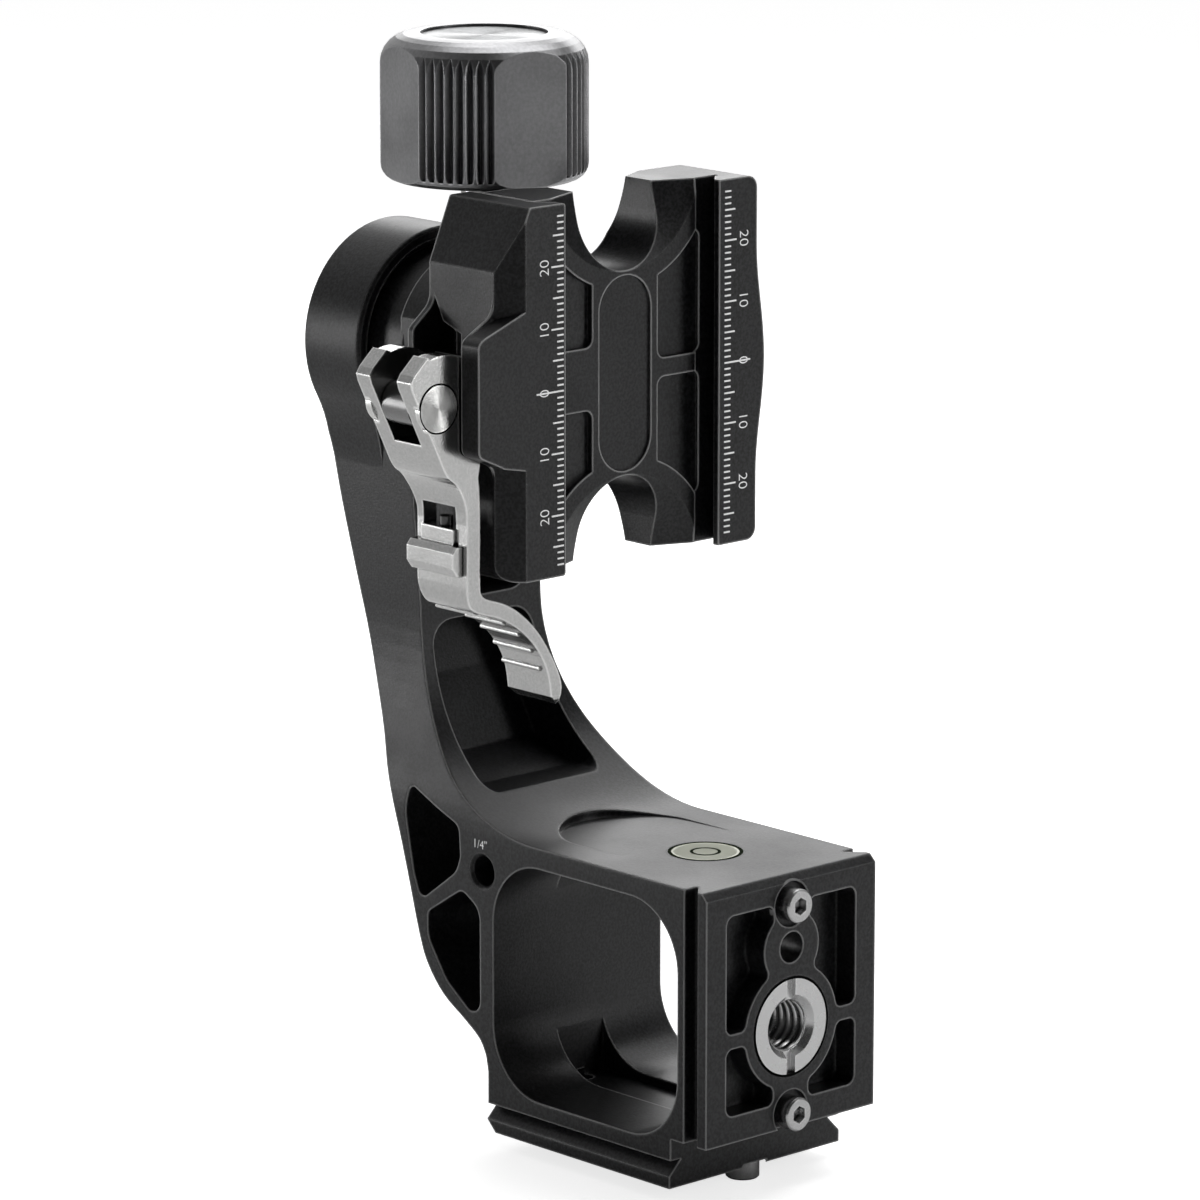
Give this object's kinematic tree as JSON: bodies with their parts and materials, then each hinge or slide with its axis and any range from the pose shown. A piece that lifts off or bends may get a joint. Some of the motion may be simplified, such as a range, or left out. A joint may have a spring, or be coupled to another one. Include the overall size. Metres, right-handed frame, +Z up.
{
  "type": "gimbal tripod head",
  "caption": "Side-mount gimbal tripod head: black aluminium bracket, knob-locked tilt axis and a lever-operated quick release clamp for a lens foot.",
  "frame": {"origin": "centre of the foot's underside, where the head rests in the clamp below it", "axes": "+Z up, +X out of the end face with the threaded bush and along the tilt axis, -Y towards the clamp's lever"},
  "size_m": [0.0991, 0.0725, 0.1797],
  "materials": {
    "black_anodised": "bead-blasted, black anodised",
    "titanium_grey": "satin, grey anodised",
    "bright_disc": "turned, clear anodised",
    "satin_silver": "satin, clear anodised",
    "plain_aluminium": "as turned",
    "turned_steel": "turned",
    "screw_steel": "bright stainless",
    "black_screw": "black oxide",
    "bearing_steel": "ground and hardened",
    "spring_steel": "drawn wire and strip",
    "cage_brass": "stamped",
    "brake_plastic": "matte",
    "white_marking": "laser-marked white",
    "level_rim": "gloss",
    "level_fluid": "clear tinted liquid",
    "level_bubble": "clear",
    "level_lens": "polished acrylic"
  },
  "bodies": {
    "root": {"arm": "black_anodised", "threaded_bush": "turned_steel", "end_stop_screws": "screw_steel", "foot_stop_screws": "screw_steel", "level_cup": "level_rim", "level_fluid": "level_fluid", "level_bubble": "level_bubble", "level_lens": "level_lens", "spindle": "turned_steel", "spindle_screw": "black_screw", "spindle_nut": "turned_steel", "brake_sleeve": "turned_steel", "drum_cap": "black_anodised", "drum_cap_screws": "black_screw", "bearing_inner_rings": "bearing_steel"},
    "clamp": {"clamp_body": "black_anodised", "bearing_outer_rings": "bearing_steel", "bearing_spacer": "plain_aluminium", "hub_retainer": "black_anodised", "brake_pad": "brake_plastic", "guide_pins": "turned_steel", "draw_rod": "screw_steel", "rod_nut": "black_screw", "lever_pin": "turned_steel", "bed_scale": "white_marking"},
    "ball_train": {"bearing_balls": "bearing_steel", "bearing_cages": "cage_brass"},
    "jaw": {"moving_jaw": "black_anodised", "cam_pads": "bearing_steel", "jaw_springs": "spring_steel", "jaw_scale": "white_marking"},
    "cam_lever": {"lever": "satin_silver"},
    "catch": {"latch": "satin_silver", "latch_keeper": "spring_steel", "latch_spring": "spring_steel"},
    "tilt_knob": {"knob": "titanium_grey", "knob_cap": "bright_disc", "knob_screw": "turned_steel", "knob_collar": "satin_silver"}
  },
  "joints": [
    {"name": "tilt", "type": "hinge", "parent": "root", "child": "clamp", "pos_m": [0, 0, 0.1254], "axis": [1, 0, 0], "range_deg": [-120, 120]},
    {"name": "ball_roll", "type": "hinge", "parent": "root", "child": "ball_train", "pos_m": [0, 0, 0.1254], "axis": [1, 0, 0], "range_deg": [-70, 70]},
    {"name": "lever_swing", "type": "hinge", "parent": "clamp", "child": "cam_lever", "pos_m": [0, -0.0397, 0.1247], "axis": [-1, 0, 0], "range_deg": [0, 80]},
    {"name": "jaw_slide", "type": "slide", "parent": "clamp", "child": "jaw", "axis": [0, -1, 0], "range_m": [0, 0.0015]},
    {"name": "catch_slide", "type": "slide", "parent": "cam_lever", "child": "catch", "axis": [0, 0, 1], "range_m": [0, 0.0016], "stiffness_N_per_m": 60, "springref_m": -0.001},
    {"name": "knob_turn", "type": "hinge", "parent": "clamp", "child": "tilt_knob", "pos_m": [-0.0427, 0, 0.165], "axis": [0, 0, 1], "range_deg": [0, 270]}
  ],
  "couplings": [
    {"joint": "ball_roll", "follows": "tilt", "ratio": 0.57},
    {"joint": "lever_swing", "follows": "jaw_slide", "rad_per_m": 930.8}
  ]
}
